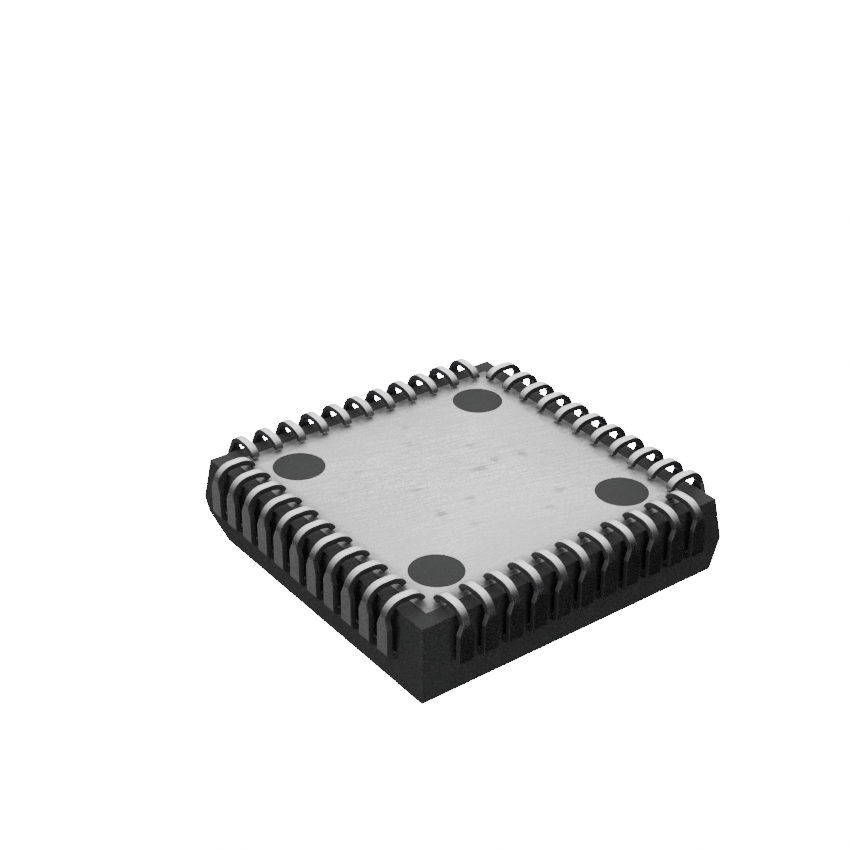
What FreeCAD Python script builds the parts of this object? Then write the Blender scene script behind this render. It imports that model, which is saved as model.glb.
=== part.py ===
"""44-lead plastic leaded chip carrier with J leads, standing on its leads.

Millimetres. The origin is the centre of the seating plane, +Z points to the marking face and
+X to the side of pin 1. Pins count counter-clockwise seen from above.
"""
import FreeCAD, Part
import math
import os

import Sketcher

doc = FreeCAD.newDocument("chip_carrier")

# Driving dimensions
SIZES = (
    # moulded body
    ("body_width", 16.586, "width and length at the parting line"),
    ("total_height", 4.28, "seating plane to marking face"),
    ("parting_height", 2.55, "seating plane to the middle of the lead strip"),
    ("underside_height", 0.60, "seating plane to the underside"),
    ("upper_draft", 8.0, "degrees, parting line to marking face"),
    ("lower_draft", 7.5, "degrees, parting line to underside"),
    ("corner_cut", 0.09, "upright corners of the body, leg of the narrow flat"),
    ("pin_corner_cut", 1.34, "slanted pin 1 corner, leg along the marking face"),
    ("pin_corner_depth", 0.99, "slanted pin 1 corner, drop down the corner edge"),
    ("dimple_diameter", 1.5, "pin 1 dimple in the marking face"),
    ("dimple_depth", 0.15, "pin 1 dimple"),
    ("dimple_inset", 2.05, "dimple centre to the side of the body at the parting line"),
    ("ejector_diameter", 2.4, "round ejector pads on the underside"),
    ("ejector_inset", 2.135, "ejector pad centres from the sides of the plate"),
    # base plate
    ("plate_rim", 0.786, "compound left round the plate, on the underside"),
    ("plate_thickness", 0.3, "plate, flush with the underside"),
    # leads
    ("side_leads", 11, "leads on each side"),
    ("corner_inset", 1.943, "side of the body to the middle of its outermost lead"),
    ("lead_thickness", 0.254, "strip"),
    ("lead_standoff", 0.47, "outer face of the leads beyond the side of the body"),
    ("wide_width", 0.74, "lead from the body to the neck"),
    ("neck_width", 0.39, "lead from the neck to the tip"),
    ("neck_height", 0.7, "seating plane to the end of the neck's taper"),
    ("neck_taper", 0.42, "height of the taper from wide to narrow"),
    ("shoulder_radius", 0.35, "outer radius where the lead turns down"),
    ("curl_radius", 0.9, "outer radius where the lead turns under"),
    ("curl_flat", 0.54, "straight stretch that rests on the board"),
    ("tip_turn", 75.0, "degrees, the last turn up towards the underside"),
    ("tip_clearance", 0.03, "tip of the lead to the underside"),
    # lead frame inside the body
    ("root_depth", 0.9, "straight stretch of a lead inside the body"),
    ("finger_gap", 1.3, "inner end of a finger to the die paddle"),
    ("finger_spread", 0.05, "outermost finger's middle beyond the edge of the paddle"),
    ("finger_width", 0.3, "finger at its inner end"),
    ("paddle_margin", 0.4, "paddle beyond the die, all round"),
    ("paddle_downset", 0.25, "paddle below the lead strip"),
    ("bar_width", 0.4, "tie bars from the paddle to the corners"),
    ("bar_level", 0.45, "level stretch of a tie bar before it rises"),
    ("bar_rise", 0.35, "run over which a tie bar rises to the lead strip"),
    ("bar_cover", 0.45, "compound left at the end of a tie bar"),
    # die and wires
    ("die_width", 4.8, "square die"),
    ("die_thickness", 0.35, "die"),
    ("attach_margin", 0.1, "adhesive beyond the die, all round"),
    ("attach_thickness", 0.03, "adhesive"),
    ("pad_inset", 0.15, "bond pads from the edge of the die"),
    ("pad_corner", 0.5, "outermost bond pad to the corner of the die"),
    ("wire_width", 0.03, "bond wire"),
    ("wire_rise", 0.28, "top of the wire loop above the die"),
    ("wire_seat", 0.35, "wire's landing from the inner end of a finger"),
)

sheet = doc.addObject("Spreadsheet::Sheet", "Sizes")
for row, (alias, value, note) in enumerate(SIZES, start=1):
    sheet.set("A%d" % row, alias)
    sheet.set("B%d" % row, str(value))
    sheet.set("C%d" % row, note)
    sheet.setAlias("B%d" % row, alias)
doc.recompute()

# Levels and reaches that several pieces share, as expressions on the sheet
HALF = "Sizes.body_width / 2"
OUTER = "(Sizes.body_width / 2 + Sizes.lead_standoff)"
STRIP_TOP = "(Sizes.parting_height + Sizes.lead_thickness / 2)"
STRIP_BOTTOM = "(Sizes.parting_height - Sizes.lead_thickness / 2)"
ROOT = "(Sizes.body_width / 2 - Sizes.root_depth)"
MARKING_HALF = ("(%s - (Sizes.total_height - Sizes.parting_height) * tan(Sizes.upper_draft * 1 deg))"
                % HALF)
UNDERSIDE_HALF = ("(%s - (Sizes.parting_height - Sizes.underside_height) * tan(Sizes.lower_draft * 1 deg))"
                  % HALF)
PLATE_HALF = "(%s - Sizes.plate_rim)" % UNDERSIDE_HALF
EJECTOR = "(%s - Sizes.ejector_inset)" % PLATE_HALF
PITCH = "((Sizes.body_width - 2 * Sizes.corner_inset) / (Sizes.side_leads - 1))"
PADDLE_HALF = "(Sizes.die_width / 2 + Sizes.paddle_margin)"
FINGER_PITCH = "((2 * %s + 2 * Sizes.finger_spread) / (Sizes.side_leads - 1))" % PADDLE_HALF
FINGER_END = "(%s + Sizes.finger_gap)" % PADDLE_HALF
PADDLE_TOP = "(Sizes.parting_height - Sizes.paddle_downset + Sizes.lead_thickness / 2)"
DIE_BOTTOM = "(%s + Sizes.attach_thickness)" % PADDLE_TOP
DIE_TOP = "(%s + Sizes.die_thickness)" % DIE_BOTTOM


def value_of(expression):
    """Number that an expression on the sheet gives."""
    found = sheet.evalExpression(expression)
    return float(getattr(found, "Value", found))


def new_body(name):
    """Empty body whose label is its name."""
    body = doc.addObject("PartDesign::Body", name)
    body.Label = name
    return body


def new_sketch(body, plane, name, height="0", turn=0.0):
    """Sketch on one of the body's own planes, moved along the plane's normal and turned in it."""
    sketch = body.newObject("Sketcher::SketchObject", name)
    origin_plane = [o for o in body.Origin.OriginFeatures if o.Role == plane][0]
    sketch.AttachmentSupport = [(origin_plane, "")]
    sketch.MapMode = "FlatFace"
    axis = FreeCAD.Vector(0, 1, 0) if plane == "XZ_Plane" else FreeCAD.Vector(0, 0, 1)
    sketch.AttachmentOffset = FreeCAD.Placement(FreeCAD.Vector(), FreeCAD.Rotation(axis, turn))
    sketch.setExpression("AttachmentOffset.Base.z", height)
    return sketch


def hold_point(sketch, edge, end, across, up):
    """Tie an end of a sketch edge to two expressions, measured from the sketch's origin."""
    for kind, text in (("DistanceX", across), ("DistanceY", up)):
        held = sketch.addConstraint(Sketcher.Constraint(kind, -1, 1, edge, end, value_of(text)))
        sketch.setExpression("Constraints[%d]" % held, text)


def draw_outline(sketch, corners, arcs=None):
    """Closed outline with each corner tied to a pair of expressions.

    Edge i runs from corner i to the next one. An edge that arcs names turns about the centre
    given there, and the others are straight.
    """
    arcs = arcs or {}
    points = [FreeCAD.Vector(value_of(across), value_of(up), 0) for across, up in corners]
    first = sketch.GeometryCount
    starts = []
    for i, (start, end) in enumerate(zip(points, points[1:] + points[:1])):
        if i not in arcs:
            sketch.addGeometry(Part.LineSegment(start, end), False)
            starts.append(1)
            continue
        middle = FreeCAD.Vector(value_of(arcs[i][0]), value_of(arcs[i][1]), 0)
        onward, back = start - middle, end - middle
        clockwise = onward.cross(back).z < 0
        low, high = (back, onward) if clockwise else (onward, back)
        circle = Part.Circle(middle, FreeCAD.Vector(0, 0, 1), onward.Length)
        from_angle = math.atan2(low.y, low.x)
        to_angle = from_angle + low.getAngle(high)
        sketch.addGeometry(Part.ArcOfCircle(circle, from_angle, to_angle), False)
        starts.append(2 if clockwise else 1)
    count = len(points)
    for i, (across, up) in enumerate(corners):
        before = (i - 1) % count
        meet = Sketcher.Constraint("Coincident", first + before, 3 - starts[before], first + i, starts[i])
        sketch.addConstraint(meet)
        hold_point(sketch, first + i, starts[i], across, up)
    for i, (across, up) in arcs.items():
        held = sketch.addConstraint(Sketcher.Constraint("DistanceX", -1, 1, first + i, 3, value_of(across)))
        sketch.setExpression("Constraints[%d]" % held, across)


def draw_square(sketch, half_width):
    """Square about the sketch's origin."""
    low = "-(%s)" % half_width
    draw_outline(sketch, [(low, low), (half_width, low), (half_width, half_width), (low, half_width)])


def draw_cut_square(sketch, half_width, leg):
    """Square about the sketch's origin with its corners cut off flat."""
    near = "(%s - %s)" % (half_width, leg)
    corners = []
    for i, (right, up) in enumerate((("", "-"), ("", ""), ("-", ""), ("-", "-"))):
        cut = ((right + near, up + half_width), (right + half_width, up + near))
        corners += cut if i % 2 == 0 else cut[::-1]
    draw_outline(sketch, corners)


def draw_circle(sketch, across, up, diameter):
    """Circle tied to expressions for its centre and diameter."""
    middle = FreeCAD.Vector(value_of(across), value_of(up), 0)
    circle = Part.Circle(middle, FreeCAD.Vector(0, 0, 1), value_of(diameter) / 2)
    edge = sketch.addGeometry(circle, False)
    hold_point(sketch, edge, 3, across, up)
    held = sketch.addConstraint(Sketcher.Constraint("Diameter", edge, value_of(diameter)))
    sketch.setExpression("Constraints[%d]" % held, diameter)


def add_feature(body, kind, name, sketch, length=None, back=False):
    """Pad or pocket of a sketch, with its length tied to an expression, or through everything."""
    feature = body.newObject("PartDesign::" + kind, name)
    feature.Profile = sketch
    feature.Reversed = back
    if length is None:
        feature.Type = "ThroughAll"
    else:
        feature.setExpression("Length", length)
    doc.recompute()
    return feature


# Moulded body: two drafted halves that meet at the parting line
block = new_body("body_block")


def add_half(name, far_half_width, far_height):
    """Loft from the square at the parting line to a smaller one at a face of the body."""
    near = new_sketch(block, "XY_Plane", name + "_parting_outline", "Sizes.parting_height")
    draw_cut_square(near, HALF, "Sizes.corner_cut")
    far = new_sketch(block, "XY_Plane", name + "_face_outline", far_height)
    draw_cut_square(far, far_half_width, "Sizes.corner_cut")
    loft = block.newObject("PartDesign::AdditiveLoft", name)
    loft.Profile = near
    loft.Sections = [(far, [""])]
    loft.Ruled = True
    doc.recompute()
    return loft


add_half("upper_half", MARKING_HALF, "Sizes.total_height")
add_half("lower_half", UNDERSIDE_HALF, "Sizes.underside_height")

# Slanted pin 1 corner: a wedge drawn in the diagonal plane and cut square to it. The wedge
# starts one leg's diagonal height inside the sharp corner of the marking face.
CUT_START = "(%s * sqrt(2) - Sizes.pin_corner_cut / sqrt(2))" % MARKING_HALF
CUT_LOW = "(Sizes.total_height - Sizes.pin_corner_depth)"
CUT_END = ("((%s - (Sizes.total_height - Sizes.pin_corner_depth - Sizes.parting_height)"
           " * tan(Sizes.upper_draft * 1 deg)) * sqrt(2))" % HALF)
wedge = new_sketch(block, "XZ_Plane", "pin_corner_wedge", turn=45.0)
draw_outline(wedge, [
    (CUT_START, "Sizes.total_height"),
    (CUT_END, CUT_LOW),
    ("%s + Sizes.pin_corner_cut" % CUT_END, CUT_LOW),
    ("%s + Sizes.pin_corner_cut" % CUT_END, "Sizes.total_height + Sizes.pin_corner_cut"),
    (CUT_START, "Sizes.total_height + Sizes.pin_corner_cut"),
])
pin_corner = add_feature(block, "Pocket", "pin_corner", wedge, "4 * Sizes.pin_corner_cut")
pin_corner.Midplane = True

dimple_outline = new_sketch(block, "XY_Plane", "dimple_outline", "Sizes.total_height")
draw_circle(dimple_outline, HALF + " - Sizes.dimple_inset", "0", "Sizes.dimple_diameter")
add_feature(block, "Pocket", "pin_dimple", dimple_outline, "Sizes.dimple_depth")

# Seat of the base plate, which leaves the four ejector pads standing
plate_seat = new_sketch(block, "XY_Plane", "plate_seat_outline", "Sizes.underside_height")
EJECTORS = [(across + EJECTOR, up + EJECTOR)
            for across in ("", "-") for up in ("", "-")]
draw_square(plate_seat, PLATE_HALF)
for across, up in EJECTORS:
    draw_circle(plate_seat, across, up, "Sizes.ejector_diameter")
add_feature(block, "Pocket", "plate_seat", plate_seat, "Sizes.plate_thickness", back=True)

# Base plate: the same square and the same four circles
plate = new_body("base_plate")
plate_outline = new_sketch(plate, "XY_Plane", "plate_outline", "Sizes.underside_height")
draw_square(plate_outline, PLATE_HALF)
for across, up in EJECTORS:
    draw_circle(plate_outline, across, up, "Sizes.ejector_diameter")
add_feature(plate, "Pad", "plate_sheet", plate_outline, "Sizes.plate_thickness")

# Lead form: the strip from the body to the tip, which all the leads share. Its side view runs
# out along the outer face to the tip, then back inside. The bends are round outside and drawn
# in short straight stretches inside, and the tip ends just clear of the underside.
lead_form = new_body("lead_form")
INNER = "(%s - Sizes.lead_thickness)" % OUTER
FLAT_START = "(%s - Sizes.curl_radius)" % OUTER
FLAT_END = "(%s - Sizes.curl_flat)" % FLAT_START
TURN = "(Sizes.tip_turn * 1 deg)"
TIP_RADIUS = ("((Sizes.underside_height - Sizes.tip_clearance - Sizes.lead_thickness * cos(%s))"
              " / (1 - cos(%s)))" % (TURN, TURN))


def on_curl(inset, angle):
    """Point of the turn under, by its depth inside the strip and its angle from the lowest point."""
    radius = "(Sizes.curl_radius - %s)" % inset
    return ("%s + %s * sin(%s)" % (FLAT_START, radius, angle),
            "Sizes.curl_radius - %s * cos(%s)" % (radius, angle))


def on_tip(inset, angle):
    """Point of the last turn, by its depth inside the strip and its angle from the lowest point."""
    radius = "(%s - %s)" % (TIP_RADIUS, inset)
    return ("%s - %s * sin(%s)" % (FLAT_END, radius, angle),
            "%s - %s * cos(%s)" % (TIP_RADIUS, radius, angle))


THICK = "Sizes.lead_thickness"
side_points = [
    (ROOT, STRIP_TOP),
    ("%s - Sizes.shoulder_radius" % OUTER, STRIP_TOP),
    (OUTER, "%s - Sizes.shoulder_radius" % STRIP_TOP),
    (OUTER, "Sizes.curl_radius"),
    (FLAT_START, "0"),
    (FLAT_END, "0"),
    on_tip("0", TURN),
    on_tip(THICK, TURN),
    on_tip(THICK, "%s * 2 / 3" % TURN),
    on_tip(THICK, "%s / 3" % TURN),
    (FLAT_END, THICK),
    (FLAT_START, THICK),
    on_curl(THICK, "30 deg"),
    on_curl(THICK, "60 deg"),
    (INNER, "Sizes.curl_radius"),
    (INNER, STRIP_BOTTOM),
    (ROOT, STRIP_BOTTOM),
]
side_arcs = {
    1: ("%s - Sizes.shoulder_radius" % OUTER, "%s - Sizes.shoulder_radius" % STRIP_TOP),
    3: (FLAT_START, "Sizes.curl_radius"),
    5: (FLAT_END, TIP_RADIUS),
}
side_view = new_sketch(lead_form, "XZ_Plane", "side_view")
draw_outline(side_view, side_points, side_arcs)
strip = add_feature(lead_form, "Pad", "strip", side_view, "Sizes.wide_width")
strip.Midplane = True
doc.recompute()

# Neck: both flanks of the strip are cut back from the taper down to the tip
NECK_TOP = "Sizes.neck_height + Sizes.neck_taper"
neck_sketch = new_sketch(lead_form, "YZ_Plane", "neck_outline")
for side in ("", "-"):
    draw_outline(neck_sketch, [
        (side + "Sizes.wide_width / 2", NECK_TOP),
        (side + "Sizes.neck_width / 2", "Sizes.neck_height"),
        (side + "Sizes.neck_width / 2", "-Sizes.neck_height"),
        (side + "Sizes.wide_width", "-Sizes.neck_height"),
        (side + "Sizes.wide_width", NECK_TOP),
    ])
add_feature(lead_form, "Pocket", "neck", neck_sketch, back=True)

# Leads of the pin 1 side: the shared form with a finger of its own, which fans in to the die
per_side = int(value_of("Sizes.side_leads"))
half_side = per_side // 2
pin_count = 4 * per_side


def pin_name(side, step):
    """Label of the lead that lies step places on from the middle of a side."""
    return "lead_%02d" % ((side * per_side + step) % pin_count + 1)


side_leads = {}
for step in range(-half_side, half_side + 1):
    lead = new_body(pin_name(0, step))
    form = lead.newObject("PartDesign::FeatureBase", "form_%s" % lead.Name)
    form.BaseFeature = lead_form
    finger_outline = new_sketch(lead, "XY_Plane", "finger_outline_%s" % lead.Name, STRIP_BOTTOM)
    shift = "(%d) * (%s - %s)" % (step, FINGER_PITCH, PITCH)
    draw_outline(finger_outline, [
        (ROOT, "-Sizes.wide_width / 2"),
        (ROOT, "Sizes.wide_width / 2"),
        (FINGER_END, "%s + Sizes.finger_width / 2" % shift),
        (FINGER_END, "%s - Sizes.finger_width / 2" % shift),
    ])
    add_feature(lead, "Pad", "finger_%s" % lead.Name, finger_outline, "Sizes.lead_thickness")
    lead.setExpression("Placement.Base.y", "(%d) * %s" % (step, PITCH))
    side_leads[step] = lead
doc.recompute()

# Leads of the other three sides: the same eleven, turned about the middle of the package
leads = {pin_name(0, step): lead for step, lead in side_leads.items()}
for side in (1, 2, 3):
    quarter_turn = FreeCAD.Rotation(FreeCAD.Vector(0, 0, 1), 90.0 * side)
    for step, pattern in side_leads.items():
        lead = new_body(pin_name(side, step))
        copy = lead.newObject("PartDesign::FeatureBase", "copy_%s" % lead.Name)
        copy.BaseFeature = pattern
        lead.Placement = FreeCAD.Placement(FreeCAD.Vector(), quarter_turn).multiply(pattern.Placement)
        leads[lead.Label] = lead
doc.recompute()

# Die paddle with its four tie bars, which rise to the level of the leads on their way out
paddle = new_body("die_paddle")
paddle_outline = new_sketch(paddle, "XY_Plane", "paddle_outline",
                            "Sizes.parting_height - Sizes.paddle_downset - Sizes.lead_thickness / 2")
draw_square(paddle_outline, PADDLE_HALF)
add_feature(paddle, "Pad", "paddle_sheet", paddle_outline, "Sizes.lead_thickness")

LOW_LEVEL = "Sizes.parting_height - Sizes.paddle_downset"
PADDLE_CORNER = "(%s * sqrt(2))" % PADDLE_HALF
bar_points = [
    (PADDLE_CORNER + " - Sizes.bar_width", LOW_LEVEL),
    (PADDLE_CORNER + " + Sizes.bar_level", LOW_LEVEL),
    (PADDLE_CORNER + " + Sizes.bar_level + Sizes.bar_rise", "Sizes.parting_height"),
    ("Sizes.body_width / sqrt(2) - Sizes.bar_cover", "Sizes.parting_height"),
]
HALF_THICK = "Sizes.lead_thickness / 2"
bar_outline = new_sketch(paddle, "XZ_Plane", "bar_outline", turn=45.0)
draw_outline(bar_outline, [(across, "%s + %s" % (up, HALF_THICK)) for across, up in bar_points]
             + [(across, "%s - %s" % (up, HALF_THICK)) for across, up in reversed(bar_points)])
bar = add_feature(paddle, "Pad", "tie_bar", bar_outline, "Sizes.bar_width")
bar.Midplane = True
doc.recompute()
bars = paddle.newObject("PartDesign::PolarPattern", "tie_bars")
bars.Originals = [bar]
bars.Axis = ([o for o in paddle.Origin.OriginFeatures if o.Role == "Z_Axis"][0], [""])
bars.Angle = 360
bars.Occurrences = 4
paddle.Tip = bars
doc.recompute()

# Adhesive and die, stacked on the paddle
attach = new_body("die_attach")
attach_outline = new_sketch(attach, "XY_Plane", "attach_outline", PADDLE_TOP)
draw_square(attach_outline, "Sizes.die_width / 2 + Sizes.attach_margin")
add_feature(attach, "Pad", "attach_layer", attach_outline, "Sizes.attach_thickness")

die = new_body("die")
die_outline = new_sketch(die, "XY_Plane", "die_outline", DIE_BOTTOM)
draw_square(die_outline, "Sizes.die_width / 2")
add_feature(die, "Pad", "die_block", die_outline, "Sizes.die_thickness")


def bond_wire(step):
    """One wire of the pin 1 side: up from its pad on the die, then down to its finger."""
    thick = value_of("Sizes.wire_width")
    pad_pitch = value_of("(Sizes.die_width - 2 * Sizes.pad_corner) / (Sizes.side_leads - 1)")
    pad_reach = value_of("Sizes.die_width / 2 - Sizes.pad_inset")
    start = FreeCAD.Vector(pad_reach, step * pad_pitch, value_of(DIE_TOP))
    top = start + FreeCAD.Vector(0, 0, value_of("Sizes.wire_rise"))

    inner, root = value_of(FINGER_END), value_of(ROOT)
    seat = value_of("Sizes.wire_seat")
    finger_pitch = value_of(FINGER_PITCH)
    seat_pitch = finger_pitch + (value_of(PITCH) - finger_pitch) * seat / (root - inner)
    finger_top = value_of(STRIP_TOP)
    landing = FreeCAD.Vector(inner + seat, step * seat_pitch, finger_top)
    past = landing + (landing - top).normalize() * 2 * thick

    # the section is turned to face the way the wire runs
    run = landing - start
    section = Part.makePlane(thick, thick, FreeCAD.Vector(-thick / 2, -thick / 2, 0)).Wires[0]
    section.rotate(FreeCAD.Vector(), FreeCAD.Vector(0, 0, 1), math.degrees(math.atan2(run.y, run.x)))
    section.translate(start)
    sweep = Part.BRepOffsetAPI.MakePipeShell(Part.makePolygon([start, top, past]))
    sweep.setTransitionMode(1)
    sweep.add(section)
    sweep.build()
    sweep.makeSolid()
    # it ends on the top face of the finger
    below = Part.makeBox(root - inner, root, finger_top)
    below.translate(FreeCAD.Vector(inner, -root / 2, 0))
    return sweep.shape().cut(below).Solids[0]


wires = doc.addObject("Part::Feature", "bond_wires")
wires.Label = "bond_wires"
side_wires = [bond_wire(step) for step in range(-half_side, half_side + 1)]
all_wires = []
for side in range(4):
    for wire in side_wires:
        turned = wire.copy()
        turned.rotate(FreeCAD.Vector(), FreeCAD.Vector(0, 0, 1), 90.0 * side)
        all_wires.append(turned)
wires.Shape = Part.makeCompound(all_wires)
wires.Placement = FreeCAD.Placement()

# The compound flows round everything that stands in the mould
inserts = doc.addObject("Part::Compound", "mould_inserts")
inserts.Links = [paddle, attach, die, wires] + [leads[name] for name in sorted(leads)]
moulded = doc.addObject("Part::Cut", "moulded_body")
moulded.Base = block
moulded.Tool = inserts
moulded.Label = "moulded_body"
doc.recompute()

nodes = [moulded, plate, paddle, attach, die, wires] + [leads[name] for name in sorted(leads)]

for item in doc.Objects:
    if "Invalid" in item.State or "Error" in item.State:
        raise RuntimeError("failed: %s %s" % (item.Label, item.State))
for node in nodes:
    if node.Shape.isNull() or not node.Shape.isValid() or node.Shape.Volume <= 0:
        raise RuntimeError("bad shape: %s" % node.Label)

os.makedirs("parts", exist_ok=True)
for node in nodes:
    node.Shape.exportStep("parts/%s.step" % node.Label)
    print("%-14s solids %2d  volume %9.4f" % (node.Label, len(node.Shape.Solids), node.Shape.Volume))
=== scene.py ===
"""44-lead plastic leaded chip carrier, seen turned over: underside, base plate and J leads.

Metres, in the CAD frame: the chip stands on its leads with +Z up. The photograph shows it
upside down, so the main camera looks up at it from below, rolled to match.
"""
import math

import bpy
import numpy as np
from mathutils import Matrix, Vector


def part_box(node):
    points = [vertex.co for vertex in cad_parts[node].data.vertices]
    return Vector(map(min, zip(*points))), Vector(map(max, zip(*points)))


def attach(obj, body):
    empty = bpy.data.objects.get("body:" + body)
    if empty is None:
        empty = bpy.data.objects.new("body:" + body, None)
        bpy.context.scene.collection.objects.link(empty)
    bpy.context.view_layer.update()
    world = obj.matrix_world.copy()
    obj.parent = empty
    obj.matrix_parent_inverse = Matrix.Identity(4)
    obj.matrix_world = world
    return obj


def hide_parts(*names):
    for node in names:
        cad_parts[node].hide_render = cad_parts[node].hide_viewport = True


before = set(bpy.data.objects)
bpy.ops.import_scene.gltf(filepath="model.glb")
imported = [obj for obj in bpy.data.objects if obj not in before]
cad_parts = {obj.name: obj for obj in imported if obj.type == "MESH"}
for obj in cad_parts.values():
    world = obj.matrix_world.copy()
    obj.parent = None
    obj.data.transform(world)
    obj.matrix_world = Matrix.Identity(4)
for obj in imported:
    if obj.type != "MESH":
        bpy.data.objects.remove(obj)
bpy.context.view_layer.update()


# Moulded body
# One block of black moulding compound, pressed round the lead frame in a two-part mould. Its
# sides lean in from the parting line, one corner of the marking half is slanted for pin 1, a
# dimple marks that side, and four ejector pads stand in the windows of the base plate.
MM = 0.001
body_low, body_high = (np.array(corner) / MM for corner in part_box("moulded_body"))
body_half = body_high[0]
underside, marking = body_low[2], body_high[2]
parting = 2.55
upper_draft, lower_draft = 8.0, 7.5  # degrees
rim_round, rim_steps = 0.035, 6
corner_leg, corner_bend = 0.045, 0.03
pin_cut_leg, pin_cut_height = 1.34, 0.99
plate_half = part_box("base_plate")[1][0] / MM
seat_gap, seat_depth = 0.018, 0.304
pad_radius, pad_offset = 1.2, plate_half - 2.135
dimple_centre, dimple_radius, dimple_depth = np.array([6.25, 0.0]), 0.75, 0.15


def corner_points(half, leg, bend, arc_steps=6, cut_steps=4):
    """Corner of an outline at (+half, +half), cut across by a leg and eased by two 45 degree
    bends. Each argument may be an array over levels; the result is (levels, points, 2)."""
    half, leg, bend = (np.asarray(value, float)[:, None] for value in (half, leg, bend))
    reach = bend * math.tan(math.pi / 8)
    turn = np.linspace(0, math.pi / 4, arc_steps + 1)[None, :]
    first = np.stack([half - bend + bend * np.cos(turn),
                      half - leg - reach + bend * np.sin(turn)], -1)
    second = first[:, ::-1, ::-1]
    share = np.linspace(0, 1, cut_steps + 1)[1:-1][None, :, None]
    cut = first[:, -1:, :] * (1 - share) + second[:, :1, :] * share
    return np.concatenate([first, cut, second], axis=1)


def outline_rings(half, height, pin_leg, pin_bend, leg, bend, side_steps=44):
    """Rings round the package, one per level: four corners joined by straight sides. The side
    points crowd at both ends, so the flats stay flat beside the bends."""
    half, height = np.asarray(half, float), np.asarray(height, float)
    pin_corner = corner_points(half, pin_leg, pin_bend)
    corner = corner_points(half, leg, bend)
    corners = []
    for quarter, points in enumerate((pin_corner, corner, corner, corner)):
        across, up = points[..., 0], points[..., 1]
        for _ in range(quarter):
            across, up = -up, across
        corners.append(np.stack([across, up], -1))
    share = np.concatenate([[0.004], np.linspace(0.015, 0.985, side_steps), [0.996]])
    share = share[None, :, None]
    stretches = []
    for here, after in zip(corners, corners[1:] + corners[:1]):
        stretches += [here, here[:, -1:, :] * (1 - share) + after[:, :1, :] * share]
    flat = np.concatenate(stretches, axis=1)
    level = np.broadcast_to(height[:, None, None], flat.shape[:2] + (1,))
    return np.concatenate([flat, level], axis=-1)


def skin_over(rings, first_pole, last_pole):
    """Vertices and faces of the closed skin over a stack of rings: quads from each ring to the
    next, and a fan to a pole at both ends. It is turned so that its volume is positive."""
    count, around = rings.shape[:2]
    points = np.vstack([rings.reshape(-1, 3), [first_pole], [last_pole]])
    level, place = np.meshgrid(np.arange(count - 1), np.arange(around), indexing="ij")
    after = (place + 1) % around
    quads = np.stack([level * around + place, (level + 1) * around + place,
                      (level + 1) * around + after, level * around + after], -1).reshape(-1, 4)
    ring = np.arange(around)
    next_in_ring = (ring + 1) % around
    first_tip, last_tip, last = count * around, count * around + 1, (count - 1) * around
    fans = np.concatenate([
        np.stack([np.full(around, first_tip), ring, next_in_ring], -1),
        np.stack([np.full(around, last_tip), last + next_in_ring, last + ring], -1)])
    triangles = np.concatenate([quads[:, [0, 1, 2]], quads[:, [0, 2, 3]], fans])
    a, b, c = (points[triangles[:, k]] for k in range(3))
    if np.einsum("ij,ij->i", a, np.cross(b, c)).sum() < 0:
        quads, fans = quads[:, ::-1], fans[:, ::-1]
    return points, quads.tolist() + fans.tolist()


def make_piece(name, skins, node, material, marks=None):
    """Object from one or more skins, in millimetres, that stands for a CAD node. Marks are a
    value per point, kept for the finish as the attribute cut."""
    points, faces, start = [], [], 0
    for some_points, some_faces in skins:
        points.append(some_points)
        faces += [[index + start for index in face] for face in some_faces]
        start += len(some_points)
    mesh = bpy.data.meshes.new(name)
    mesh.from_pydata((np.vstack(points) * MM).tolist(), [], faces)
    mesh.shade_smooth()
    mesh.materials.append(material)
    if marks is not None:
        mesh.attributes.new("cut", "FLOAT", "POINT").data.foreach_set("value", marks)
    piece = bpy.data.objects.new(name, mesh)
    bpy.context.scene.collection.objects.link(piece)
    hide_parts(node)
    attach(piece, "root")


# Levels of the sides, from the marking face down to the underside. Both rims are rounded. The
# levels between them lie close together where the form changes, and shape nothing by themselves.
upper_lean, lower_lean = (math.tan(math.radians(draft)) for draft in (upper_draft, lower_draft))
marking_half = body_half - (marking - parting) * upper_lean
underside_half = body_half - (parting - underside) * lower_lean


def rim_levels(face_half, draft):
    """Half widths and depths below a face along its rounded rim, from the face to the side: a
    quarter turn less the draft, about a middle that keeps the arc tangent to both."""
    lean = math.radians(draft)
    turn = np.radians(np.linspace(90, draft, rim_steps))
    middle = face_half - rim_round * (1 - math.sin(lean)) / math.cos(lean)
    return middle + rim_round * np.cos(turn), rim_round * (1 - np.sin(turn))


top_half, top_depth = rim_levels(marking_half, upper_draft)
low_half, low_depth = rim_levels(underside_half, lower_draft)
pin_cut_end = marking - pin_cut_height
upper_heights = np.concatenate([
    marking - top_depth, [marking - 0.06], np.linspace(marking - 0.12, pin_cut_end + 0.11, 5),
    [pin_cut_end + 0.07, pin_cut_end + 0.045, 3.0, parting + 0.03]])
lower_heights = np.concatenate([
    [parting - 0.03, 2.0, 1.3, underside + 0.06], underside + low_depth[::-1]])
heights = np.concatenate([upper_heights, [parting], lower_heights])
side_half = np.where(heights > parting, body_half - (heights - parting) * upper_lean,
                     body_half - (parting - heights) * lower_lean)
halves = side_half.copy()
halves[:rim_steps] = top_half
halves[-rim_steps:] = low_half[::-1]

# The slant of pin 1 is a plane: its leg shrinks with the height down to the plain corner's, and
# along the rim by how far that draws in across the corner (2 less the root of 2).
cut_leg = pin_cut_leg * (heights - pin_cut_end) / pin_cut_height - 0.586 * (side_half - halves)
plain = np.ones_like(heights)
side_rings = outline_rings(halves, heights, np.maximum(cut_leg, corner_leg), corner_bend * plain,
                           corner_leg * plain, corner_bend * plain)

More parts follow.
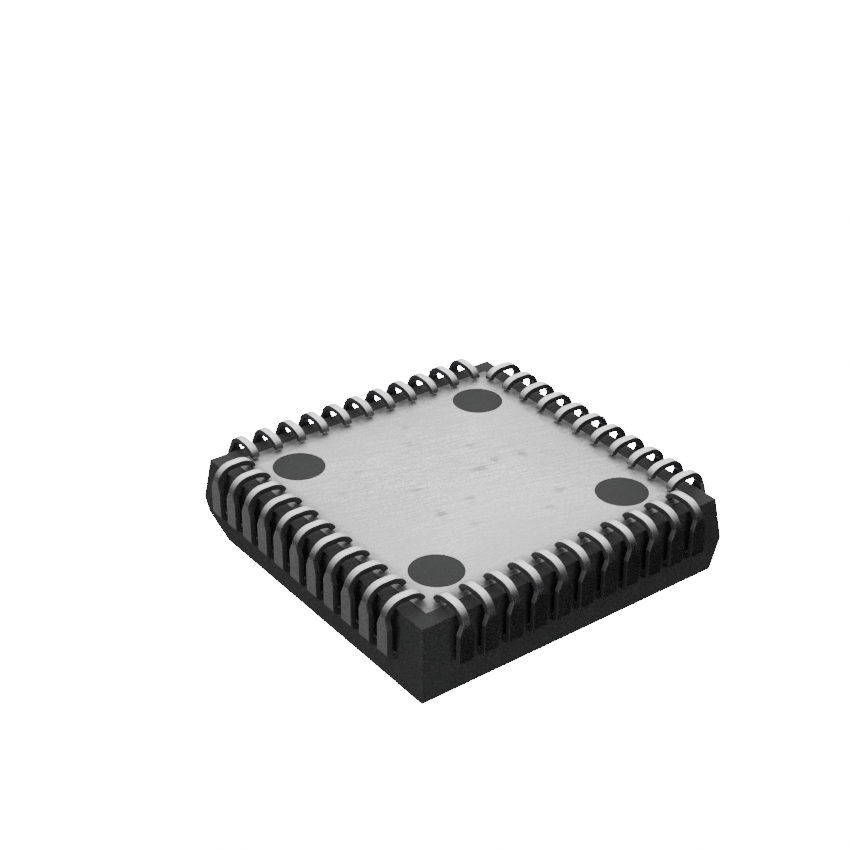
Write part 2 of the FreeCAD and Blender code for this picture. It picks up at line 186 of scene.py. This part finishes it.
# Marking face: it runs in from the rim to the pin 1 dimple, down its wall and over its floor.
rim_ring = side_rings[0]
towards = rim_ring[:, :2] - dimple_centre
towards /= np.linalg.norm(towards, axis=1, keepdims=True)


def dimple_ring(radius, depth):
    """Circle in the marking face, with a point in line with each point of the rim."""
    flat = dimple_centre + towards * radius
    return np.column_stack([flat, np.full(len(flat), marking - depth)])


# Radius and depth of the dimple's rings: floor, eased foot, wall and rounded edge.
dimple_profile = [(0.1, dimple_depth), (0.6, dimple_depth), (dimple_radius - 0.09, dimple_depth),
                  (dimple_radius - 0.05, dimple_depth - 0.012),
                  (dimple_radius - 0.03, dimple_depth - 0.035)]
edge_round = 0.02
for turn in np.radians(np.linspace(80, 0, 5)):
    dimple_profile.append((dimple_radius + edge_round - edge_round * math.sin(turn),
                           edge_round * (1 - math.cos(turn)) + 0.001))
dimple_profile.append((dimple_radius + 2 * edge_round, 0.0))
dimple_rings = [dimple_ring(radius, depth) for radius, depth in dimple_profile]
face_rings = [dimple_rings[-1] * (1 - share) + rim_ring * share
              for share in (0.03, 0.2, 0.5, 0.8, 0.97, 0.995)]

# Underside rim and the seat of the plate, with an eased edge and a hair's breadth of gap round
# the plate.
seat_half = plate_half + seat_gap
seat_halves = np.array([underside_half - 0.1, seat_half + 0.04, seat_half + 0.018,
                        seat_half + 0.006, seat_half, seat_half, seat_half - 0.1])
seat_heights = underside + np.array([0.0, 0.0, 0.001, 0.006, 0.02, seat_depth, seat_depth])
seat_leg = np.array([0.09, 0.05, 0.05, 0.05, 0.05, 0.05, 0.05])
seat_rings = outline_rings(seat_halves, seat_heights, seat_leg, seat_leg, seat_leg, seat_leg)

body_rings = np.concatenate([np.array(dimple_rings + face_rings), side_rings, seat_rings])
dimple_floor = (dimple_centre[0], dimple_centre[1], marking - dimple_depth)
body_skin = skin_over(body_rings, dimple_floor, (0, 0, underside + seat_depth))


def pad_skin(across, up):
    """Round ejector pad: a short post with an eased edge, a hair below the plate's face."""
    turn = np.linspace(0, 2 * math.pi, 96, endpoint=False)
    wall = pad_radius - 0.015
    radius = np.array([0.3, wall - 0.035, wall - 0.013, wall - 0.004, wall, wall, 0.3])
    height = underside + np.array([0.008, 0.008, 0.009, 0.013, 0.022, 0.33, 0.33])
    rings = np.stack([across + radius[:, None] * np.cos(turn), up + radius[:, None] * np.sin(turn),
                      np.broadcast_to(height[:, None], (len(radius), len(turn)))], -1)
    return skin_over(rings, (across, up, height[0]), (across, up, height[-1]))


pads = [pad_skin(across, up)
        for across in (-pad_offset, pad_offset) for up in (-pad_offset, pad_offset)]


def grey(level, blue):
    """Grey with its own value of blue, a touch cool."""
    return (level, level, blue)


class Finish:
    """Material of nodes: its shader's inputs, and what its patterns are made with. Patterns lie
    in the object's own space, in metres."""

    def __init__(self, name):
        self.material = bpy.data.materials.new(name)
        self.material.use_nodes = True
        self.nodes, self.links = self.material.node_tree.nodes, self.material.node_tree.links
        self.inputs = self.nodes["Principled BSDF"].inputs
        self.place = self.nodes.new("ShaderNodeTexCoord").outputs["Object"]

    def mapped(self, source, **settings):
        """Place after a Mapping node with one setting."""
        mapping = self.nodes.new("ShaderNodeMapping")
        for socket, value in settings.items():
            mapping.inputs[socket].default_value = value
        self.links.new(source, mapping.inputs["Vector"])
        return mapping.outputs["Vector"]

    def noise(self, scale, detail=2.0, roughness=0.5, turn=None, stretch=None):
        """Noise of so many grains a metre. It may be turned about Z and drawn out along an axis."""
        source = self.place
        if stretch:
            source = self.mapped(source, Rotation=(0, 0, turn))
            source = self.mapped(source, Scale=stretch)
        grain = self.nodes.new("ShaderNodeTexNoise")
        grain.inputs["Scale"].default_value = scale
        grain.inputs["Detail"].default_value = detail
        grain.inputs["Roughness"].default_value = roughness
        self.links.new(source, grain.inputs["Vector"])
        return grain.outputs["Fac"]

    def spread(self, value, low, high, to_low, to_high):
        """Value brought from one range to another, held at the ends."""
        ranged = self.nodes.new("ShaderNodeMapRange")
        sockets = ("From Min", "From Max", "To Min", "To Max")
        for socket, number in zip(sockets, (low, high, to_low, to_high)):
            ranged.inputs[socket].default_value = number
        self.links.new(value, ranged.inputs["Value"])
        return ranged.outputs["Result"]

    def blend(self, share, first, second):
        """Colour between two, each a colour or the output of another blend."""
        mix = self.nodes.new("ShaderNodeMix")
        mix.data_type = "RGBA"
        for socket, colour in ((mix.inputs[6], first), (mix.inputs[7], second)):
            if isinstance(colour, bpy.types.NodeSocket):
                self.links.new(colour, socket)
            else:
                socket.default_value = (*colour, 1)
        self.links.new(share, mix.inputs[0])
        return mix.outputs[2]

    def reckon(self, operation, *values):
        """Result of a Math node on one or two values."""
        node = self.nodes.new("ShaderNodeMath")
        node.operation = operation
        for socket, value in zip(node.inputs, values):
            self.links.new(value, socket)
        return node.outputs["Value"]

    def distance(self, point):
        """Distance from a point, in metres."""
        away = self.nodes.new("ShaderNodeVectorMath")
        away.operation = "DISTANCE"
        away.inputs[1].default_value = point
        self.links.new(self.place, away.inputs[0])
        return away.outputs["Value"]

    def emboss(self, value, depth):
        """Bump of a depth in metres."""
        bump = self.nodes.new("ShaderNodeBump")
        bump.inputs["Distance"].default_value = depth
        self.links.new(value, bump.inputs["Height"])
        return bump.outputs["Normal"]

    def feed(self, **outputs):
        """Link outputs to the shader's inputs: colour, roughness, metallic or normal."""
        sockets = {"colour": "Base Color", "roughness": "Roughness", "metallic": "Metallic",
                   "normal": "Normal"}
        for word, output in outputs.items():
            self.links.new(output, self.inputs[sockets[word]])


# Compound: a fine even grain of filler, with faint clouds.
compound = Finish("moulding_compound")
filler = compound.noise(20000, 6.0, roughness=0.7)
clouds = compound.noise(500)
mottle = compound.blend(compound.spread(filler, 0.36, 0.64, 0, 1),
                        grey(0.003, 0.0035), grey(0.040, 0.0405))
toned = compound.blend(compound.spread(clouds, 0.3, 0.7, 0, 0.5), mottle, grey(0.019, 0.0195))
compound.feed(colour=toned, roughness=compound.spread(filler, 0.3, 0.7, 0.52, 0.68),
              normal=compound.emboss(filler, 0.006 * MM))
compound.inputs["Specular IOR Level"].default_value = 0.15

make_piece("compound_body", [body_skin] + pads, "moulded_body", compound.material)


# Base plate
# Square of light metal sheet let into the underside, flush with the compound, with four round
# windows for the ejector pads. It has a fine rolled grain and marks from handling, and painted
# shade towards its edges, deepest under the lead curls.
plate = Finish("brushed_plate")
rolling_turn = math.radians(76)
streaks = plate.noise(9000, 3.0, turn=rolling_turn, stretch=(1.0, 0.10, 1.0))
speckle = plate.noise(12000, 4.0, roughness=0.65)
cloudy = plate.noise(500, 4.0)
bright_areas = plate.noise(110, 1.0)
tone = plate.blend(plate.spread(streaks, 0.38, 0.62, 0, 1), grey(0.56, 0.57), grey(0.97, 0.98))
tone = plate.blend(plate.spread(speckle, 0.42, 0.62, 0, 0.85), tone, grey(0.27, 0.275))
tone = plate.blend(plate.spread(cloudy, 0.30, 0.65, 0, 0.35), tone, grey(0.43, 0.44))
tone = plate.blend(plate.spread(bright_areas, 0.35, 0.65, 0, 0.35), tone, grey(0.74, 0.75))

# Painted shade: darker towards the edges, deepest under the lead curls where the leads shade the
# plate: the larger of |x| and |y|, made ragged.
axes = plate.nodes.new("ShaderNodeSeparateXYZ")
plate.links.new(plate.place, axes.inputs[0])
outermost = plate.reckon("MAXIMUM", *(plate.reckon("ABSOLUTE", axes.outputs[axis]) for axis in "XY"))
ragged = plate.spread(plate.noise(3500, 3.0), 0.3, 0.7, -0.12 * MM, 0.12 * MM)
from_middle = plate.reckon("ADD", outermost, ragged)
# Each band: where the painted shade starts and ends, how strong it is, and its colour.
for band_start, band_end, strength, painted_shade in ((2.2, 6.6, 0.5, grey(0.34, 0.345)),
                                             (6.25, 7.0, 0.9, grey(0.075, 0.077))):
    tone = plate.blend(plate.spread(from_middle, band_start * MM, band_end * MM, 0, strength),
                       tone, painted_shade)

# Handling marks: soft smudges, each the distance to its middle, torn along the streaks. Each is
# its place across and up, its radius and its depth.
torn = plate.spread(streaks, 0.3, 0.7, -0.22 * MM, 0.22 * MM)
for across, up, radius, depth in (
        (0.0, 3.8, 0.22, 0.35), (2.0, 0.4, 0.20, 0.35), (2.4, -1.8, 0.26, 0.4),
        (-1.3, 0.1, 0.26, 0.45), (-2.3, 0.3, 0.24, 0.4), (-3.7, 0.1, 0.28, 0.45),
        (0.6, -1.7, 0.24, 0.4), (-2.2, 2.0, 0.22, 0.35), (3.3, 3.1, 0.22, 0.25),
        (4.8, 2.0, 0.20, 0.2), (-3.0, -3.4, 0.28, 0.3), (-1.8, -4.3, 0.24, 0.3),
        (1.7, -3.3, 0.20, 0.3), (-0.8, 5.1, 0.24, 0.25)):
    away = plate.distance((across * MM, up * MM, underside * MM))
    smudge = plate.spread(plate.reckon("ADD", away, torn),
                          0.1 * radius * MM, 1.3 * radius * MM, 2.4 * depth, 0)
    tone = plate.blend(smudge, tone, grey(0.27, 0.275))
plate.feed(colour=tone, roughness=plate.spread(streaks, 0.3, 0.7, 0.43, 0.53),
           normal=plate.emboss(streaks, 0.006 * MM))
plate.inputs["Metallic"].default_value = 0.65
for material_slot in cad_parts["base_plate"].material_slots:
    material_slot.material = plate.material


# Leads
# 44 strips of copper alloy with dull tin plating. Each runs in through the parting line to its
# finger, turns down outside, narrows at the neck and curls under, with its tip rounded off.
leads_per_side = 11
thick = 0.254
lead_box_low, lead_box_high = (np.array(corner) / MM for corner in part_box("lead_01"))
outer_face = lead_box_high[0]
finger_end = lead_box_low[0]
pitch, finger_pitch, root = 1.27, 0.57, 7.393
finger_width, drop_width, neck_width = 0.3, 0.74, 0.39
shoulder, curl, flat = 0.35, 0.9, 0.36
neck_drop, neck_length = 1.12, 0.42
first_turn, tip_turn = math.radians(28), math.radians(75)
first_radius, tip_gap = 1.05, 0.03
tip_round, tip_ease, edge_bend = 0.09, 0.03, 0.03
tip_height = underside - tip_gap - thick * math.cos(tip_turn)
last_radius = ((tip_height - first_radius * (1 - math.cos(first_turn)))
               / (math.cos(first_turn) - math.cos(tip_turn)))

# Runs of the middle line, each its length and the angle that it turns down and under: finger,
# shoulder, drop, curl, flat, and the two arcs of the rising tip.
runs = [(outer_face - shoulder - finger_end, 0.0),
        ((shoulder - thick / 2) * math.pi / 2, math.pi / 2),
        (parting + thick / 2 - shoulder - curl, 0.0),
        ((curl - thick / 2) * math.pi / 2, math.pi / 2),
        (flat, 0.0),
        ((first_radius - thick / 2) * first_turn, first_turn),
        ((last_radius - thick / 2) * (tip_turn - first_turn), tip_turn - first_turn)]
run_ends = np.cumsum([0.0] + [length for length, angle in runs])
run_turns = np.cumsum([0.0] + [angle for length, angle in runs])
finger_stop, shoulder_end, drop_end, curl_end, flat_end, first_end, strip_end = run_ends[1:]
fine = np.linspace(0, strip_end, 6001)
heading = np.interp((fine[1:] + fine[:-1]) / 2, run_ends, run_turns)
fine_x = finger_end + np.concatenate([[0], np.cumsum(np.cos(heading))]) * fine[1]
fine_z = parting - np.concatenate([[0], np.cumsum(np.sin(heading))]) * fine[1]

# Stations along the middle line, close together at bends, at the ends of the neck and at the tip.
root_at = root - finger_end
neck_start = shoulder_end + (parting + thick / 2 - shoulder - neck_drop)
neck_end = neck_start + neck_length
stations = np.unique(np.concatenate([
    [0, 0.02, root_at - 0.02, root_at + 0.02, finger_stop - 0.1],
    np.linspace(finger_stop, shoulder_end, 9),
    [shoulder_end + 0.06, neck_start - 0.05, neck_start - 0.012, neck_start + 0.012,
     neck_start + 0.05, neck_end - 0.05, neck_end - 0.012, neck_end + 0.008],
    np.linspace(drop_end, curl_end, 15),
    np.linspace(curl_end + 0.1, flat_end - 0.1, 3),
    np.linspace(flat_end, first_end, 6)[:-1],
    np.linspace(first_end, strip_end - tip_round, 9),
    strip_end - np.array([0.07, 0.06, 0.05, 0.04, 0.03, 0.02, 0.012, 0.006, 0.002, 0.0])]))


def drawn_in(ease):
    """How far along its last stretch the strip is eased in: 1 less the root of 1 less the square
    of the share of the stretch that is past, as on a quarter circle."""
    share = np.clip(1 - (strip_end - stations) / ease, 0, 1)
    return ease * (1 - np.sqrt(1 - share ** 2))


def lead_skin(step):
    """Strip of the pin 1 side, so many pitches from its middle: a rounded section carried along
    the middle line, with the width of finger, drop, neck and tip. Marks are 1 on the cut edges,
    which are painted dark, partly bare cut edge and partly painted shade, 0 on the flats and 1.3
    on one tapered edge of the neck, which is painted lighter on that side only as painted light."""
    x, z = np.interp(stations, fine, fine_x), np.interp(stations, fine, fine_z)
    angle = np.interp(stations, run_ends, run_turns)
    inward = np.clip((root - x) / root_at, 0, 1) * (stations < finger_stop)
    y = step * (pitch + (finger_pitch - pitch) * inward)
    width = np.interp(stations, [0, root_at, neck_start, neck_end, strip_end],
                      [finger_width, drop_width, drop_width, neck_width, neck_width])
    half_width = (width - 2 * 0.94 * drawn_in(tip_round)) / 2
    half_thick = thick / 2 - 0.8 * drawn_in(tip_ease)
    thinner = np.minimum(half_width, half_thick)
    bend = np.minimum(edge_bend, 0.8 * thinner)
    inset = 0.3 * np.minimum(0.04, thinner - bend)
    turns = np.radians([0, 30, 60, 90])
    corner_across = np.column_stack([
        half_width, (half_width - bend)[:, None] + bend[:, None] * np.cos(turns),
        half_width - bend - inset])
    corner_up = np.column_stack([
        half_thick - bend - inset,
        (half_thick - bend)[:, None] + bend[:, None] * np.sin(turns), half_thick])
    corner_marks = [1.0, 1.0, 1.0, 1.0, 0.0, 0.0]
    section, marks = [], []
    for across_sign, up_sign in ((1, 1), (-1, 1), (-1, -1), (1, -1)):
        edge = np.stack([across_sign * corner_across, up_sign * corner_up], -1)
        onward = across_sign == up_sign
        section.append(edge if onward else edge[:, ::-1])
        marks += corner_marks if onward else corner_marks[::-1]
    section = np.concatenate(section, axis=1)
    across, up = section[..., 0], section[..., 1]
    rings = np.stack([x[:, None] + up * np.sin(angle)[:, None], y[:, None] + across,
                      z[:, None] + up * np.cos(angle)[:, None]], -1)
    points, faces = skin_over(rings, rings[0].mean(0), rings[-1].mean(0))
    marks = np.tile(marks, (len(rings), 1))
    # One tapered edge of each neck, on one side only, is marked 1.3 for painted light.
    taper = (stations > neck_start - 0.02) & (stations < neck_end + 0.02)
    marks[taper] *= np.where(across[taper] > 0, 1.3, 1.0)
    pole_marks = [1.0, 1.0]
    return points, faces, list(marks.ravel()) + pole_marks


# Tin: dull bright flats with a few worn areas. The edges that the press cut are dark and matt,
# partly the bare cut edge and partly painted shade of the gaps between the leads; one tapered
# edge of each neck is painted lighter, on one side only, as painted light.
tin = Finish("dull_tin")
speckle = tin.noise(14000, 3.0)
drift = tin.noise(900)
cut = tin.nodes.new("ShaderNodeAttribute")
cut.attribute_name = "cut"
cut_edge_shade_and_light = cut.outputs["Fac"]
tone = tin.blend(tin.spread(speckle, 0.36, 0.64, 0, 1), grey(0.53, 0.54), grey(0.73, 0.74))
tone = tin.blend(tin.spread(drift, 0.45, 0.75, 0, 0.5), tone, grey(0.50, 0.52))
# Cut edges: painted near black, partly the bare cut edge and partly painted shade between leads.
tone = tin.blend(tin.spread(cut_edge_shade_and_light, 0.0, 0.3, 0, 1), tone, grey(0.021, 0.0225))
# Painted light: that one tapered edge of each neck is lighter than the other cut edges.
tone = tin.blend(tin.spread(cut_edge_shade_and_light, 1.0, 1.3, 0, 1), tone, grey(0.042, 0.044))
tin.feed(colour=tone, metallic=tin.spread(cut_edge_shade_and_light, 0.4, 0.7, 1.0, 0.0),
         roughness=tin.spread(drift, 0.3, 0.7, 0.27, 0.35), normal=tin.emboss(speckle, 0.003 * MM))

for side in range(4):
    cosine, sine = (1, 0, -1, 0)[side], (0, 1, 0, -1)[side]
    quarter_turn = np.array([[cosine, -sine, 0], [sine, cosine, 0], [0, 0, 1]], float)
    for step in range(-(leads_per_side // 2), leads_per_side // 2 + 1):
        number = (side * leads_per_side + step) % (4 * leads_per_side) + 1
        points, faces, marks = lead_skin(step)
        make_piece("plated_lead_%02d" % number, [(points @ quarter_turn.T, faces)],
                   "lead_%02d" % number, tin.material, marks)


# Die, adhesive, paddle and wires
# What the compound seals in: a silicon die glued to the copper paddle of the lead frame, and a
# gold wire from each of its pads to a finger. None of it shows from outside.
for node_name, dark, light, metallic, rough, scale in (
        ("die", (0.10, 0.10, 0.13), (0.16, 0.16, 0.20), 0.3, 0.18, 4000),
        ("die_attach", (0.42, 0.42, 0.42), (0.55, 0.55, 0.55), 0.2, 0.6, 6000),
        ("die_paddle", (0.62, 0.33, 0.19), (0.78, 0.45, 0.28), 1.0, 0.35, 3000),
        ("bond_wires", (0.80, 0.58, 0.20), (0.92, 0.70, 0.30), 1.0, 0.2, 9000)):
    inside = Finish(node_name + "_finish")
    flecks = inside.noise(scale)
    inside.feed(colour=inside.blend(inside.spread(flecks, 0.3, 0.7, 0, 1), dark, light),
                roughness=inside.spread(flecks, 0.3, 0.7, rough, rough + 0.1))
    inside.inputs["Metallic"].default_value = metallic
    for material_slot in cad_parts[node_name].material_slots:
        material_slot.material = inside.material


# Floor
# Pale sheet under the leads. It shows from above only, so the camera below the chip sees the
# underside against the pale surroundings, and it neither shades the chip nor lights it.
reach = 3.0
floor_mesh = bpy.data.meshes.new("floor")
floor_mesh.from_pydata([(-reach, -reach, 0), (reach, -reach, 0), (reach, reach, 0), (-reach, reach, 0)],
                       [], [(0, 1, 2, 3)])
floor = bpy.data.objects.new("floor", floor_mesh)
bpy.context.scene.collection.objects.link(floor)
paper = bpy.data.materials.new("floor_paper")
paper.use_nodes = True
nodes, links = paper.node_tree.nodes, paper.node_tree.links
paper_shader = nodes["Principled BSDF"]
paper_shader.inputs["Base Color"].default_value = (0.8, 0.8, 0.8, 1)
paper_shader.inputs["Roughness"].default_value = 0.9
clear = nodes.new("ShaderNodeBsdfTransparent")
from_below = nodes.new("ShaderNodeMixShader")
links.new(nodes.new("ShaderNodeNewGeometry").outputs["Backfacing"], from_below.inputs["Fac"])
links.new(paper_shader.outputs["BSDF"], from_below.inputs[1])
links.new(clear.outputs["BSDF"], from_below.inputs[2])
links.new(from_below.outputs["Shader"], nodes["Material Output"].inputs["Surface"])
floor_mesh.materials.append(paper)
floor.visible_diffuse = False
floor.visible_glossy = False
floor.visible_transmission = False
floor.visible_shadow = False


# Light
# A pale studio: the surroundings are white to the eye and dim as a light, with one broad bright
# side. Some soft boxes light only the matt compound and floor, others show only in the metal.
white_to_camera = 40.0
bright_side = (-0.45, 0.62, -0.64)
bright_light, dim_light = 3.7, 0.006
dim_from, falloff = -0.5, 4.0
world = bpy.data.worlds.new("studio")
bpy.context.scene.world = world
world.use_nodes = True
nodes, links = world.node_tree.nodes, world.node_tree.links
nodes.clear()
seen = nodes.new("ShaderNodeBackground")
seen.inputs["Strength"].default_value = white_to_camera
cast = nodes.new("ShaderNodeBackground")
facing = nodes.new("ShaderNodeVectorMath")
facing.operation = "DOT_PRODUCT"
facing.inputs[1].default_value = bright_side
links.new(nodes.new("ShaderNodeTexCoord").outputs["Generated"], facing.inputs[0])
share = nodes.new("ShaderNodeMapRange")
share.inputs["From Min"].default_value = dim_from
share.inputs["From Max"].default_value = 1.0
links.new(facing.outputs["Value"], share.inputs["Value"])
narrowed = nodes.new("ShaderNodeMath")
narrowed.operation = "POWER"
narrowed.inputs[1].default_value = falloff
links.new(share.outputs["Result"], narrowed.inputs[0])
scaled = nodes.new("ShaderNodeMath")
scaled.operation = "MULTIPLY_ADD"
scaled.inputs[1].default_value = bright_light
scaled.inputs[2].default_value = dim_light
links.new(narrowed.outputs["Value"], scaled.inputs[0])
links.new(scaled.outputs["Value"], cast.inputs["Strength"])
either = nodes.new("ShaderNodeMixShader")
links.new(nodes.new("ShaderNodeLightPath").outputs["Is Camera Ray"], either.inputs["Fac"])
links.new(cast.outputs["Background"], either.inputs[1])
links.new(seen.outputs["Background"], either.inputs[2])
links.new(either.outputs["Shader"], nodes.new("ShaderNodeOutputWorld").inputs["Surface"])


def soft_box(name, towards_light, distance, size, power, lights_matt):
    """Square area light out along a direction from the chip, facing it. It lights the matt
    surfaces only, or shows in the metal only."""
    lamp = bpy.data.lights.new(name, "AREA")
    lamp.shape = "SQUARE"
    lamp.size = size
    lamp.energy = power
    holder = bpy.data.objects.new(name, lamp)
    bpy.context.scene.collection.objects.link(holder)
    direction = np.array(towards_light, float)
    direction /= np.linalg.norm(direction)
    holder.location = direction * distance
    turn = math.atan2(direction[1], direction[0])
    lean = math.acos(direction[2])
    holder.rotation_euler = (0, lean, turn)
    holder.visible_camera = False
    holder.visible_diffuse = lights_matt
    holder.visible_glossy = not lights_matt


soft_box("side_fill", (0.90, -0.15, -0.42), 0.30, 0.18, 1.2, lights_matt=True)
soft_box("front_fill", (0.1, -0.92, -0.38), 0.30, 0.18, 0.6, lights_matt=True)
soft_box("rear_fill", (0.53, 0.67, 0.52), 0.30, 0.20, 0.019, lights_matt=False)
soft_box("under_key", (0.05, -0.30, -0.95), 0.30, 0.12, 0.35, lights_matt=True)
soft_box("key_above", (0.0, -0.1, 1.0), 0.80, 0.48, 12.0, lights_matt=True)
soft_box("top_sheen", (0.0, -0.1, 1.0), 0.80, 0.48, 1.2, lights_matt=False)
for across, up in ((1, 0), (0, 1), (-1, 0), (0, -1)):
    soft_box("side_sheen", (across, up, 0.0), 0.40, 0.24, 0.14, lights_matt=False)


# Camera
# Placed where the photograph was taken from, worked out from the corners of the body and plate.
camera_data = bpy.data.cameras.new("camera")
camera_data.lens = 75.18
camera_data.sensor_width = 36.0
camera_data.clip_start = 0.001
camera_data.clip_end = 10.0
camera = bpy.data.objects.new("camera", camera_data)
bpy.context.scene.collection.objects.link(camera)
camera.location = (0.0416621, -0.0528140, -0.0408826)
camera.rotation_euler = (math.radians(-119.93367), math.radians(0.19082), math.radians(-143.12387))
bpy.context.scene.camera = camera
